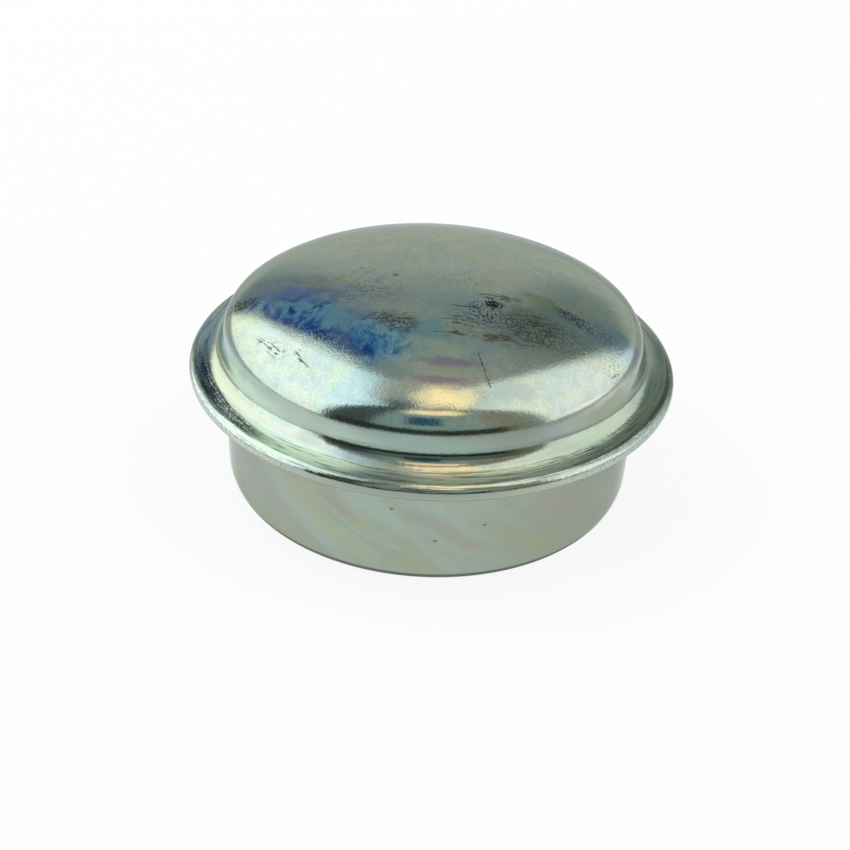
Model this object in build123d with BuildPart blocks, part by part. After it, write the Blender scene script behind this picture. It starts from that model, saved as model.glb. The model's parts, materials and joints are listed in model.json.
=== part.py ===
"""Hub grease cap: one drawn sheet-steel cup with a flange folded out of its wall.

Millimetres, +Z up. The origin is the middle of the open lower end, on the cap's axis.
The cap is one sheet of even thickness, so its section is drawn as two parallel skins.
"""

import os
from math import acos, asin, cos, degrees, radians, sin, sqrt

from build123d import *

# Sheet and cup
sheet = 0.9  # thickness of the steel sheet
cup_diameter = 50.0  # outside of the skirt
skirt_length = 13.4  # from the open end up to the seat under the flange

# Turned-in lower end, which starts the cap in the hub bore
lead_in_radius = 4.0
lead_in_angle = 25.0
edge_break = 0.15  # rounding of the trimmed edge

# Folded flange
seat_bend = 0.6  # outside radius between the skirt and the flange's seat
fold_gap = 0.14  # slit left between the two layers at the fold
flange_slope = 8.0  # the upper layer rises towards the dome
flange_flat = 0.2  # straight stretch on top of the fold
flange_sweep = 5.3  # wide hollow radius that lifts the upper layer
sweep_angle = 29.5  # steepness at which the wide hollow passes into the wall's bend

# Dome, with outside radii
foot_diameter = 50.36  # where the wall stands on its bend
wall_bend = 1.85  # between the flange and the wall
wall_length = 1.42
wall_lean = 12.6  # the wall leans in towards the shoulder
shoulder_radius = 4.0  # tight bend at the top of the wall
shoulder_angle = 57.0  # where the tight bend passes into the easier one
upper_shoulder_radius = 18.0  # easier bend that leads into the crown
crown_radius = 55.0

# Places worked out from those sizes, as (distance from the axis, height)
cup_radius = cup_diameter / 2
fold_radius = sheet + fold_gap / 2
lean, slope = radians(wall_lean), radians(flange_slope)
sweep, turn = radians(sweep_angle), radians(shoulder_angle)

lead_in_height = lead_in_radius * sin(radians(lead_in_angle))
lead_in_centre = (cup_radius - lead_in_radius, lead_in_height)
seat_bend_centre = (cup_radius + seat_bend, skirt_length - seat_bend)
sweep_step = flange_sweep - wall_bend
fold_height = skirt_length + fold_radius
sweep_height = fold_height + (fold_radius + flange_sweep) * cos(slope) + flange_flat * sin(slope)
wall_bend_centre = (foot_diameter / 2 + wall_bend * cos(lean), sweep_height - sweep_step * cos(sweep))
sweep_centre = (wall_bend_centre[0] + sweep_step * sin(sweep), sweep_height)
fold_centre = (
    sweep_centre[0] - (fold_radius + flange_sweep) * sin(slope) + flange_flat * cos(slope),
    fold_height,
)
shoulder_centre = (
    foot_diameter / 2 - wall_length * sin(lean) - shoulder_radius * cos(lean),
    wall_bend_centre[1] - (wall_bend + shoulder_radius) * sin(lean) + wall_length * cos(lean),
)
upper_shoulder_centre = (
    shoulder_centre[0] - (upper_shoulder_radius - shoulder_radius) * cos(turn),
    shoulder_centre[1] - (upper_shoulder_radius - shoulder_radius) * sin(turn),
)
crown_reach = crown_radius - upper_shoulder_radius
crown_centre = (0, upper_shoulder_centre[1] - sqrt(crown_reach**2 - upper_shoulder_centre[0] ** 2))
crown_angle = degrees(acos(upper_shoulder_centre[0] / crown_reach))


def bend(centre, radius, start, end):
    """One bend of the sheet, from one angle to another in degrees, anticlockwise if the angle grows."""
    return CenterArc(centre, radius, start, end - start)


def skin(depth):
    """One skin of the sheet from the open end to the crown's middle, so far below the outer skin."""
    lead_in_start = -degrees(asin(lead_in_height / (lead_in_radius - depth)))
    lead_in = bend(lead_in_centre, lead_in_radius - depth, lead_in_start, 0)
    seat = bend(seat_bend_centre, seat_bend + depth, 180, 90)
    Line(lead_in @ 1, seat @ 0)
    fold = bend(fold_centre, fold_radius - depth, -90, 90 - flange_slope)
    Line(seat @ 1, fold @ 0)
    upper_layer = bend(sweep_centre, flange_sweep + depth, 270 - flange_slope, 270 - sweep_angle)
    Line(fold @ 1, upper_layer @ 0)
    wall = bend(wall_bend_centre, wall_bend + depth, 270 - sweep_angle, 180 + wall_lean)
    shoulder = bend(shoulder_centre, shoulder_radius - depth, wall_lean, shoulder_angle)
    Line(wall @ 1, shoulder @ 0)
    bend(upper_shoulder_centre, upper_shoulder_radius - depth, shoulder_angle, crown_angle)
    crown = bend(crown_centre, crown_radius - depth, crown_angle, 90)
    return lead_in @ 0, crown @ 1


# The cap: the section between the two skins, turned about the axis
with BuildPart() as grease_cap:
    with BuildSketch(Plane.XZ):
        with BuildLine():
            outer_edge, outer_top = skin(0)
            inner_edge, inner_top = skin(sheet)
            Line(outer_edge, inner_edge)
            Line(outer_top, inner_top)
        make_face()
        trimmed_corners = vertices().sort_by(Axis.Y)[:2]
        fillet(trimmed_corners, edge_break)
    revolve(axis=Axis.Z)

grease_cap.part.label = "grease_cap"

os.makedirs("parts", exist_ok=True)
export_step(grease_cap.part, "parts/grease_cap.step")

box = grease_cap.part.bounding_box().size
print(f"flange diameter {2 * (fold_centre[0] + fold_radius):.2f}, height {box.Z:.2f}")
print(f"skirt straight from {lead_in_height:.2f} to {seat_bend_centre[1]:.2f}")
print(f"crown {crown_centre[1] + crown_radius - sheet:.2f} deep inside, from {crown_angle:.1f} degrees")
print(f"volume {grease_cap.part.volume:.0f} cubic millimetres")
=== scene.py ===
# %% [markdown]
# Hub grease cap
#
# The cap closes the outer end of a wheel hub and keeps the bearing grease in. It is one piece of sheet
# steel: a blank is drawn to a cup, then squeezed from both ends so that a doubled flange folds out of
# its wall, and last of all it is zinc plated. This lesson turns the sheet's section round the axis,
# gives it the plated and handled finish, and lights it like a small metal part on a studio table.

# %% Load the frame
import json
from math import acos, asin, cos, degrees, pi, radians, sin, sqrt

import bpy
from mathutils import Matrix, Vector


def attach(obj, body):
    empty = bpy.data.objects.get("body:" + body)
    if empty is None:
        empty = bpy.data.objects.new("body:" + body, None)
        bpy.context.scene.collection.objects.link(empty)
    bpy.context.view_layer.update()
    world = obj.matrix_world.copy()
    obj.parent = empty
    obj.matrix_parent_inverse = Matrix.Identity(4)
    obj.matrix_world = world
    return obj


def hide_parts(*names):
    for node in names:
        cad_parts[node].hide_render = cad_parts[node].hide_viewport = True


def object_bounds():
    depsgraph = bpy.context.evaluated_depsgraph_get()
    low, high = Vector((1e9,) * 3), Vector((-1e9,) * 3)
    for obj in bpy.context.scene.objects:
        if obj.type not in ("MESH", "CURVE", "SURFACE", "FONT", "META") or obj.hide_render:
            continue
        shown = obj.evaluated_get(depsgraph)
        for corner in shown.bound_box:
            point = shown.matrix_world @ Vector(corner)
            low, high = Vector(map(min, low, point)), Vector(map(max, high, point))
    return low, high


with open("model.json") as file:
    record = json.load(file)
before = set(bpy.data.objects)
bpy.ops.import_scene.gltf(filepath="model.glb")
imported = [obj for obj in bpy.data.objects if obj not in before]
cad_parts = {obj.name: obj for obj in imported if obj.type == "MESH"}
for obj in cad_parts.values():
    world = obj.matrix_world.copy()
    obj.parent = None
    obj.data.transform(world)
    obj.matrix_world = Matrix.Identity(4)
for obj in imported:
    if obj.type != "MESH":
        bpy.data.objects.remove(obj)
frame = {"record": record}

cad_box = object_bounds()
scene = bpy.context.scene
scene.view_settings.view_transform = "Standard"
MM = 0.001
low_corner, high_corner = ([round(v / MM, 2) for v in corner] for corner in cad_box)
print("solid from", low_corner, "to", high_corner, "mm")

# %% [markdown]
# The sheet's section
#
# A press tool shapes the cap, so its section is straight runs and tangent bends, and the sheet keeps
# one thickness all the way. The section could be traced as free points, but then each bend would be a
# little flat somewhere, and on bright metal that shows as a kink in the reflection. So it is worked out
# bend by bend, as the tool maker draws it: an outer skin, and an inner skin one sheet thickness below.

# %% Sizes of the section, in millimetres and degrees
mounts = {mount["name"]: mount for mount in frame["record"]["mounts"]}
cup_radius = mounts["skirt"]["dims"]["r_mm"]
skirt_length = mounts["flange_seat"]["pos_m"][2] / MM

# The rest follows the sheet from its lower edge to the crown. Radii are those of the outer skin.
sheet = 0.9
edge_break = 0.15
lead_in_radius, lead_in_angle = 4.0, 25.0
seat_bend, fold_gap = 0.6, 0.14
flange_slope, flange_flat = 8.0, 0.2
flange_sweep, sweep_angle = 5.3, 29.5
foot_radius, wall_bend = 25.18, 1.85
wall_length, wall_lean = 1.42, 12.6
shoulder_radius, shoulder_angle = 4.0, 57.0
upper_shoulder_radius, crown_radius = 18.0, 55.0

# %% Centres of the bends, as distance from the axis and height
fold_radius = sheet + fold_gap / 2
lean, slope = radians(wall_lean), radians(flange_slope)
sweep, turn = radians(sweep_angle), radians(shoulder_angle)

lead_in_height = lead_in_radius * sin(radians(lead_in_angle))
lead_in_centre = (cup_radius - lead_in_radius, lead_in_height)
seat_centre = (cup_radius + seat_bend, skirt_length - seat_bend)
sweep_step = flange_sweep - wall_bend
fold_height = skirt_length + fold_radius
sweep_height = fold_height + (fold_radius + flange_sweep) * cos(slope) + flange_flat * sin(slope)
wall_centre = (foot_radius + wall_bend * cos(lean), sweep_height - sweep_step * cos(sweep))
sweep_centre = (wall_centre[0] + sweep_step * sin(sweep), sweep_height)
fold_centre = (
    sweep_centre[0] - (fold_radius + flange_sweep) * sin(slope) + flange_flat * cos(slope),
    fold_height,
)
shoulder_centre = (
    foot_radius - wall_length * sin(lean) - shoulder_radius * cos(lean),
    wall_centre[1] - (wall_bend + shoulder_radius) * sin(lean) + wall_length * cos(lean),
)
upper_shoulder_centre = (
    shoulder_centre[0] - (upper_shoulder_radius - shoulder_radius) * cos(turn),
    shoulder_centre[1] - (upper_shoulder_radius - shoulder_radius) * sin(turn),
)
crown_reach = crown_radius - upper_shoulder_radius
crown_centre = (0.0, upper_shoulder_centre[1] - sqrt(crown_reach**2 - upper_shoulder_centre[0] ** 2))
crown_angle = degrees(acos(upper_shoulder_centre[0] / crown_reach))
flange_reach, crown_height = fold_centre[0] + fold_radius, crown_centre[1] + crown_radius
print(f"flange reach {flange_reach:.2f}, crown height {crown_height:.2f} mm")

# %% Draw the section
run_steps = {
    "lead in": 8, "skirt": 10, "seat": 10, "fold": 40, "upper layer": 14, "wall bend": 22,
    "wall": 4, "shoulder": 32, "upper shoulder": 12, "crown": 32,
}
inner_fineness = 0.45


def bend(centre, radius, start, end, steps):
    """Points along one bend of the sheet, from one angle to another in degrees."""
    angles = [radians(start + (end - start) * i / steps) for i in range(steps + 1)]
    return [(centre[0] + radius * cos(a), centre[1] + radius * sin(a)) for a in angles]


def run(start, end, steps):
    """Points along a straight run, without its two ends."""
    shares = [i / steps for i in range(1, steps)]
    return [tuple(a + (b - a) * share for a, b in zip(start, end)) for share in shares]


def skin(depth, fineness):
    """One skin of the sheet, from the trimmed lower edge to the middle of the crown."""
    steps = {name: max(2, round(count * fineness)) for name, count in run_steps.items()}
    lead_in_start = -degrees(asin(lead_in_height / (lead_in_radius - depth)))
    layer_start, layer_end = 270 - flange_slope, 270 - sweep_angle
    lead_in = bend(lead_in_centre, lead_in_radius - depth, lead_in_start, 0, steps["lead in"])
    seat = bend(seat_centre, seat_bend + depth, 180, 90, steps["seat"])
    fold = bend(fold_centre, fold_radius - depth, -90, 90 - flange_slope, steps["fold"])
    layer = bend(sweep_centre, flange_sweep + depth, layer_start, layer_end, steps["upper layer"])
    wall = bend(wall_centre, wall_bend + depth, layer_end, 180 + wall_lean, steps["wall bend"])
    shoulder = bend(
        shoulder_centre, shoulder_radius - depth, wall_lean, shoulder_angle, steps["shoulder"]
    )
    upper = bend(
        upper_shoulder_centre, upper_shoulder_radius - depth, shoulder_angle, crown_angle,
        steps["upper shoulder"],
    )
    crown = bend(crown_centre, crown_radius - depth, crown_angle, 90, steps["crown"])
    skirt = run(lead_in[-1], seat[0], steps["skirt"])
    face = run(wall[-1], shoulder[0], steps["wall"])
    flange = fold + layer + wall[1:] + face
    return lead_in + skirt + seat + flange + shoulder + upper[1:] + crown[1:]


def eased(corner, before, after, radius, steps=4):
    """A trimmed corner with its sharp edge taken off."""
    point, ends = Vector(corner), []
    for neighbour in (before, after):
        ends.append(point + (Vector(neighbour) - point).normalized() * radius)
    shares = [i / steps for i in range(steps + 1)]
    return [tuple(ends[0] * (1 - t) ** 2 + point * 2 * t * (1 - t) + ends[1] * t**2) for t in shares]


outer, inner = skin(0, 1), skin(sheet, inner_fineness)
outer_edge = eased(outer[0], outer[1], inner[0], edge_break)
inner_edge = eased(inner[0], outer[0], inner[1], edge_break)
section = outer[:0:-1] + outer_edge + inner_edge + inner[1:]
print(f"section of {len(section)} points, {len(outer)} of them on the outer skin")

# %% [markdown]
# Turn the section round the axis
#
# The cap's shape follows one rule: its section goes round the axis. The Spin tool would do it once and
# for all. Geometry Nodes keep the rule open instead: the section is a curve, a circle is the path, and
# Curve to Mesh carries one along the other. A pressed sheet is never quite true, so the tree then lets
# it dip by a few hundredths of a millimetre, and a little more on the rim, which takes the knocks. The
# dips only go inwards, so that the cap keeps its size.


# %% Helpers that place nodes
def place(tree, kind, feeds=None, **settings):
    """Adds one node, makes its settings, and fills its inputs with values or links."""
    made = tree.nodes.new(kind)
    for name, value in settings.items():
        setattr(made, name, value)
    for socket, value in (feeds or {}).items():
        if isinstance(value, bpy.types.NodeSocket):
            tree.links.new(value, made.inputs[socket])
        else:
            made.inputs[socket].default_value = value
    return made


def maths(tree, operation, *values):
    """One maths node, fed with numbers or links."""
    return place(tree, "ShaderNodeMath", dict(enumerate(values)), operation=operation).outputs[0]


def vector_maths(tree, operation, values):
    """One vector maths node, with its two results."""
    feeds = dict(enumerate(values))
    return place(tree, "ShaderNodeVectorMath", feeds, operation=operation).outputs


def vectors(tree, operation, *values):
    """Vector maths whose result is a vector."""
    return vector_maths(tree, operation, values)["Vector"]


def measured(tree, operation, *values):
    """Vector maths whose result is a number, such as a length."""
    return vector_maths(tree, operation, values)["Value"]


def joined(tree, x, y, z=0.0):
    """A vector put together from three numbers or links."""
    return place(tree, "ShaderNodeCombineXYZ", {"X": x, "Y": y, "Z": z}).outputs[0]


# %% The tree that turns a section
merge_distance = 0.0001 * MM


def turned_sheet_tree():
    """Geometry Nodes: a section curve turned round Z, merged at the poles, with slight dips."""
    tree = bpy.data.node_groups.new("turned_sheet", "GeometryNodeTree")
    for name, kind in (
        ("Section", "Object"), ("Path Radius", "Float"), ("Steps Round", "Int"),
        ("Dip Depth", "Float"), ("Dip Size", "Float"), ("Knock Depth", "Float"),
        ("Knock Size", "Float"), ("Knocked From", "Float"), ("Seed", "Float"), ("Finish", "Material"),
    ):
        tree.interface.new_socket(name, in_out="INPUT", socket_type="NodeSocket" + kind)
    tree.interface.new_socket("Geometry", in_out="OUTPUT", socket_type="NodeSocketGeometry")

    given = place(tree, "NodeGroupInput").outputs
    drawn = place(
        tree, "GeometryNodeObjectInfo", {"Object": given["Section"]}, transform_space="ORIGINAL"
    )
    path = place(
        tree, "GeometryNodeCurvePrimitiveCircle",
        {"Resolution": given["Steps Round"], "Radius": given["Path Radius"]}, mode="RADIUS",
    )
    turned = place(
        tree, "GeometryNodeCurveToMesh",
        {"Curve": path.outputs["Curve"], "Profile Curve": drawn.outputs["Geometry"]},
    )
    closed = place(
        tree, "GeometryNodeMergeByDistance",
        {"Geometry": turned.outputs["Mesh"], "Distance": merge_distance},
    )

    def dips(size):
        """Noise from 0 to 1 with hollows of about the given size."""
        feeds = {"W": given["Seed"], "Scale": maths(tree, "DIVIDE", 1.0, size), "Detail": 1.0}
        return place(tree, "ShaderNodeTexNoise", feeds, noise_dimensions="4D").outputs["Fac"]

    position = place(tree, "GeometryNodeInputPosition").outputs[0]
    reach = measured(tree, "LENGTH", vectors(tree, "MULTIPLY", position, (1, 1, 0)))
    on_rim = maths(tree, "GREATER_THAN", reach, given["Knocked From"])
    knocks = maths(tree, "MULTIPLY", dips(given["Knock Size"]), given["Knock Depth"])
    hollows = maths(tree, "MULTIPLY", dips(given["Dip Size"]), given["Dip Depth"])
    depth = maths(tree, "ADD", hollows, maths(tree, "MULTIPLY", knocks, on_rim))
    inwards = maths(tree, "MULTIPLY", depth, -1.0)
    normal = place(tree, "GeometryNodeInputNormal").outputs[0]
    offset = vectors(tree, "MULTIPLY", normal, joined(tree, inwards, inwards, inwards))

    dipped = place(tree, "GeometryNodeSetPosition", {"Geometry": closed.outputs[0], "Offset": offset})
    smooth = place(tree, "GeometryNodeSetShadeSmooth", {"Geometry": dipped.outputs[0]})
    plain = place(tree, "GeometryNodeRealizeInstances", {"Geometry": smooth.outputs[0]})
    finished = place(
        tree, "GeometryNodeSetMaterial", {"Geometry": plain.outputs[0], "Material": given["Finish"]}
    )
    place(tree, "NodeGroupOutput", {"Geometry": finished.outputs[0]})
    return tree


turned_sheet = turned_sheet_tree()
named_inputs = [i.name for i in turned_sheet.interface.items_tree if i.in_out == "INPUT"]
print("tree", turned_sheet.name, "with inputs", named_inputs)


# %% Make the cap
def section_curve(points):
    """The section as a curve, with its middle on the path: outwards along X, upwards along minus Y."""
    curve = bpy.data.curves.new("sheet_section", "CURVE")
    curve.dimensions = "3D"
    spline = curve.splines.new("POLY")
    spline.points.add(len(points) - 1)
    for point, (reach, height) in zip(spline.points, points):
        point.co = ((reach - cup_radius) * MM, -height * MM, 0, 1)
    drawn = bpy.data.objects.new("sheet_section", curve)
    scene.collection.objects.link(drawn)
    return drawn


def turned_piece(name, points, tree, finish, **sizes):
    """A plain mesh object, turned from a section by the tree."""
    drawn = section_curve(points)
    blank = bpy.data.objects.new(name + "_blank", bpy.data.meshes.new(name + "_blank"))
    scene.collection.objects.link(blank)
    modifier = blank.modifiers.new("turn", "NODES")
    modifier.node_group = tree
    values = {"Section": drawn, "Finish": finish, **sizes}
    for item in tree.interface.items_tree:
        if item.in_out == "INPUT":
            modifier[item.identifier] = values[item.name]
    mesh = bpy.data.meshes.new_from_object(blank.evaluated_get(bpy.context.evaluated_depsgraph_get()))
    mesh.name = name
    blank.modifiers.remove(modifier)
    bpy.data.objects.remove(blank)
    bpy.data.objects.remove(drawn)
    piece = bpy.data.objects.new(name, mesh)
    scene.collection.objects.link(piece)
    return piece


zinc_plate = bpy.data.materials.new("zinc_plate")
zinc_plate.use_nodes = True
cap = turned_piece(
    "drawn_cap", section, turned_sheet, zinc_plate,
    **{
        "Path Radius": cup_radius * MM,
        "Steps Round": 320,
        "Dip Depth": 0.012 * MM,
        "Dip Size": 9.0 * MM,
        "Knock Depth": 0.03 * MM,
        "Knock Size": 2.5 * MM,
        "Knocked From": (fold_centre[0] + 0.3) * MM,
        "Seed": 3.0,
    },
)
cap.data.calc_loop_triangles()
triangles, corners = cap.data.loop_triangles, cap.data.vertices
volume = sum(t.area * t.normal.dot(corners[t.vertices[0]].co) for t in triangles) / 3
print(f"cap of {len(triangles)} triangles, {volume / MM**3:.0f} cubic millimetres of steel")

# %% [markdown]
# Bright zinc plate
#
# Zinc plate is a cool, slightly green mirror that is a little clouded. A plated surface has no paint of
# its own, so Metallic is 1 all over and the thin film's colour goes into Base Color: all that shows is
# what it mirrors, tinted. The marks could be painted into a picture and laid over the cap. Here they
# are worked out from the place on the cap instead, so they stay sharp at any distance. Object
# coordinates are turned to millimetres first, and are also unrolled, because stains on the flange and
# the skirt follow the way round.


# %% Helpers for the surface
def swung(tree, where, angle):
    """A place turned about Z, by an angle in radians."""
    feeds = {"Vector": where, "Angle": angle}
    return place(tree, "ShaderNodeVectorRotate", feeds, rotation_type="Z_AXIS").outputs[0]


def ease(tree, value, low, high):
    """0 at low, 1 at high and eased between them; low may be the greater one."""
    limits = {"Value": value, "From Min": low, "From Max": high}
    return place(tree, "ShaderNodeMapRange", limits, interpolation_type="SMOOTHSTEP").outputs["Result"]


def spread(tree, value, low, high, least, most):
    """A value between low and high, brought to run from least to most."""
    limits = {"Value": value, "From Min": low, "From Max": high, "To Min": least, "To Max": most}
    return place(tree, "ShaderNodeMapRange", limits).outputs["Result"]


def cloud(tree, where, size, detail=2.0, distortion=0.0):
    """Soft noise with lumps of about the given size."""
    settings = {"Vector": where, "Scale": 1 / size, "Detail": detail, "Distortion": distortion}
    return place(tree, "ShaderNodeTexNoise", settings).outputs


def ramp(tree, value, *stops):
    """Colours along a value, each stop a position and a colour."""
    made = place(tree, "ShaderNodeValToRGB", {"Fac": value})
    elements = made.color_ramp.elements
    elements.remove(elements[1])
    elements[0].position, elements[0].color = stops[0][0], (*stops[0][1], 1)
    for position, colour in stops[1:]:
        elements.new(position).color = (*colour, 1)
    return made.outputs["Color"]


def laid_over(tree, under, over, mask, blend="MIX"):
    """One colour over another, as far as the mask says."""
    over = over if isinstance(over, bpy.types.NodeSocket) else (*over, 1)
    # The colours of a Mix node are its sockets 6 and 7, and the mixed colour is its output 2.
    feeds = {0: mask, 6: under, 7: over}
    return place(tree, "ShaderNodeMix", feeds, data_type="RGBA", blend_type=blend).outputs[2]


# %% Groups for stains and scratches
far = 1000.0  # a place that far off in Z is outside every stain
stain_core, scratch_core = 0.25, 0.3  # share of the half size within which a mark is full


def surface_group(name, inputs, output):
    """An empty shader group with named sockets, its inputs, and its way out."""
    tree = bpy.data.node_groups.new(name, "ShaderNodeTree")
    for socket, kind in inputs.items():
        tree.interface.new_socket(socket, in_out="INPUT", socket_type="NodeSocket" + kind)
    tree.interface.new_socket(output, in_out="OUTPUT", socket_type="NodeSocketFloat")
    return tree, place(tree, "NodeGroupInput").outputs, place(tree, "NodeGroupOutput")


def stain_group():
    """Mask of an oval patch, fullest in its middle."""
    sizes = {"Half Length": "Float", "Half Width": "Float", "Turn": "Float"}
    tree, given, out = surface_group("stain", {"Place": "Vector", "Centre": "Vector", **sizes}, "Mask")
    aside = vectors(tree, "SUBTRACT", given["Place"], given["Centre"])
    back = maths(tree, "MULTIPLY", given["Turn"], -1.0)
    halves = joined(tree, given["Half Length"], given["Half Width"], far)
    share = measured(tree, "LENGTH", vectors(tree, "DIVIDE", swung(tree, aside, back), halves))
    tree.links.new(ease(tree, share, 1.0, stain_core), out.inputs["Mask"])
    return tree


def scratch_group():
    """Mask of a line from one place to another, seen from above."""
    ends = {"From": "Vector", "To": "Vector", "Half Width": "Float"}
    tree, given, out = surface_group("scratch", {"Place": "Vector", **ends}, "Mask")
    flat = (1, 1, 0)
    aside = vectors(tree, "MULTIPLY", vectors(tree, "SUBTRACT", given["Place"], given["From"]), flat)
    along = vectors(tree, "MULTIPLY", vectors(tree, "SUBTRACT", given["To"], given["From"]), flat)
    passed, whole = (measured(tree, "DOT_PRODUCT", way, along) for way in (aside, along))
    reach = maths(tree, "DIVIDE", passed, whole)
    held = place(tree, "ShaderNodeClamp", {"Value": reach}).outputs[0]
    nearest = vectors(tree, "MULTIPLY", along, joined(tree, held, held, held))
    gap = measured(tree, "LENGTH", vectors(tree, "SUBTRACT", aside, nearest))
    core = maths(tree, "MULTIPLY", given["Half Width"], scratch_core)
    tree.links.new(ease(tree, gap, given["Half Width"], core), out.inputs["Mask"])
    return tree


stain_mask, scratch_mask = stain_group(), scratch_group()
print("groups", stain_mask.name, "and", scratch_mask.name)

# %% Places on the cap, in millimetres
cup_middle = (0, 0, 8)
plate = zinc_plate.node_tree
shader = plate.nodes["Principled BSDF"]
shader.inputs["Metallic"].default_value = 1.0
shader.inputs["Specular Tint"].default_value = (0.74, 0.77, 0.74, 1)

coordinates = place(plate, "ShaderNodeTexCoord").outputs["Object"]
spot = vectors(plate, "MULTIPLY", coordinates, (1 / MM, 1 / MM, 1 / MM))
parts = place(plate, "ShaderNodeSeparateXYZ", {"Vector": spot}).outputs
height = parts["Z"]
radius = measured(plate, "LENGTH", vectors(plate, "MULTIPLY", spot, (1, 1, 0)))
bearing = maths(plate, "ARCTAN2", parts["X"], maths(plate, "MULTIPLY", parts["Y"], -1.0))
around = maths(plate, "MULTIPLY", bearing, cup_radius)


def both(first, second):
    """What two masks have in common, or a value scaled by a mask."""
    return maths(plate, "MULTIPLY", first, second)


def between(value, low, high, soft):
    """1 from low to high, and eased down to 0 over a soft edge on either side."""
    return both(ease(plate, value, low - soft, low), ease(plate, value, high + soft, high))


def squeezed(where, shares):
    """A place squeezed along its axes, so that noise comes out stretched there."""
    return vectors(plate, "MULTIPLY", where, shares)


def noise(where, size, detail, distortion=0.0):
    """Strength of soft noise on the plate, from 0 to 1."""
    return cloud(plate, where, size, detail, distortion)["Fac"]


def wandering(where, noise_at, size, reach):
    """A place pushed about by noise, so that what is drawn there gets a ragged outline."""
    push = vectors(plate, "SUBTRACT", cloud(plate, noise_at, size, 3.0)["Color"], (0.5, 0.5, 0.5))
    return vectors(plate, "ADD", where, vectors(plate, "MULTIPLY", push, reach))


on_top = ease(plate, height, 18.3, 19.0)
far_below = spread(plate, on_top, 0.0, 1.0, far, 0.0)
from_above = joined(plate, parts["X"], parts["Y"], far_below)
unrolled, on_ring = joined(plate, around, height), joined(plate, around, radius)
ragged = wandering(from_above, spot, 2.2, (4, 4, 0))
frayed = wandering(from_above, spot, 0.8, (1.1, 1.1, 0))
run_down = wandering(unrolled, spot, 3.0, (2, 2, 0))
rolled = wandering(on_ring, squeezed(on_ring, (0.12, 1, 1)), 0.8, (3, 0.6, 0))
print("places with", len(plate.nodes), "nodes")

# %% Parts of the cap, by side, height and distance from the axis
normal = place(plate, "ShaderNodeNewGeometry").outputs["Normal"]
from_middle = vectors(plate, "SUBTRACT", spot, cup_middle)
facing_out = measured(plate, "DOT_PRODUCT", normal, from_middle)
outside = maths(plate, "GREATER_THAN", facing_out, 0.0)
below_flange = ease(plate, height, 13.6, 13.2)
on_flange = between(height, 14.9, 17.0, 0.5)
on_outer_half = both(on_flange, ease(plate, radius, 26.3, 26.8))
on_wall = both(between(height, 16.9, 19.4, 0.4), ease(plate, radius, 24.0, 24.3))
on_rim = both(ease(plate, radius, 27.9, 28.5), ease(plate, height, 15.2, 14.8))
print("parts with", len(plate.nodes), "nodes so far")

# %% [markdown]
# The film on the plate
#
# After plating, the cap is dipped, and the thin film that this leaves shows very pale green, yellow,
# lilac and blue, as oil on water does. On the crown it is cloudy. On the skirt it ran while it dried,
# so its bands slant down to the right. One noise is stretched in the right way for each, and a colour
# ramp turns it into the film's tints. Finer noise over it is the grain of the plate, which shows most
# on the crown and the flange.

# %% Film
slant = radians(38)
clouded = noise(squeezed(spot, (0.75, 1, 1)), 8.5, 2.0, 0.5)
crown_colour = ramp(
    plate, clouded,
    (0.34, (0.365, 0.45, 0.43)), (0.42, (0.395, 0.465, 0.40)), (0.48, (0.43, 0.475, 0.38)),
    (0.54, (0.42, 0.455, 0.405)), (0.60, (0.375, 0.45, 0.415)), (0.68, (0.435, 0.465, 0.36)),
)
banded = noise(squeezed(swung(plate, unrolled, slant), (0.3, 1, 1)), 5.5, 1.8, 0.8)
skirt_colour = ramp(
    plate, banded,
    (0.30, (0.33, 0.345, 0.32)), (0.40, (0.345, 0.385, 0.275)), (0.47, (0.32, 0.385, 0.315)),
    (0.53, (0.335, 0.415, 0.355)), (0.60, (0.35, 0.39, 0.27)), (0.68, (0.33, 0.345, 0.32)),
)
to_front = ease(plate, maths(plate, "ABSOLUTE", bearing), 2.9, 2.0)
film_colour = laid_over(plate, crown_colour, skirt_colour, both(below_flange, to_front))
print("film with", len(plate.nodes), "nodes so far")

# %% Grain
grain_contrast, smudge_contrast = 0.5, 0.35
least_grain = 0.35  # what of it shows on wall and skirt
grain = noise(spot, 0.25, 2.0)
smudged = noise(squeezed(spot, (1, 0.7, 1)), 1.1, 3.0)
mean = (grain_contrast + smudge_contrast) / 2
uneven = maths(plate, "MULTIPLY_ADD", smudged, smudge_contrast, -mean)
uneven = maths(plate, "MULTIPLY_ADD", grain, grain_contrast, uneven)
shows = maths(plate, "MAXIMUM", maths(plate, "MAXIMUM", on_top, on_flange), least_grain)
tone = maths(plate, "MULTIPLY_ADD", uneven, shows, 1.0)
colour = laid_over(plate, film_colour, joined(plate, tone, tone, tone), 1.0, "MULTIPLY")
print("grain with", len(plate.nodes), "nodes so far")

# %% [markdown]
# Stains
#
# A blue stain runs along the left of the crown, where the film is thickest, and smaller clouds of teal,
# purple, yellow and grey lie beside it and on the right. Each is an oval with a ragged outline, and its
# colour is mixed over what is below it. Over the left half, noise cut off at a level adds grey smudges.
# The blue stain is mottled: a second noise picks between navy and pale teal, and it is paler inwards
# and in three places. It is partly the film's own blue and partly painted reflection: its navy stands
# for the dark room that the crown mirrors there. So it ends along a line, where the crown begins to
# turn down to the shoulder, which mirrors the bright soft box.


# %% Clouded stains on the crown
def stain(where, centre, half_length, half_width, turn_by=0.0):
    """Mask of one oval, for stains and painted light alike: centre and half sizes in millimetres,
    turned by an angle in degrees.
    """
    feeds = {
        "Place": where, "Centre": (*centre, 0), "Half Length": half_length, "Half Width": half_width,
        "Turn": radians(turn_by),
    }
    return place(plate, "ShaderNodeGroup", feeds, node_tree=stain_mask).outputs["Mask"]


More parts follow.
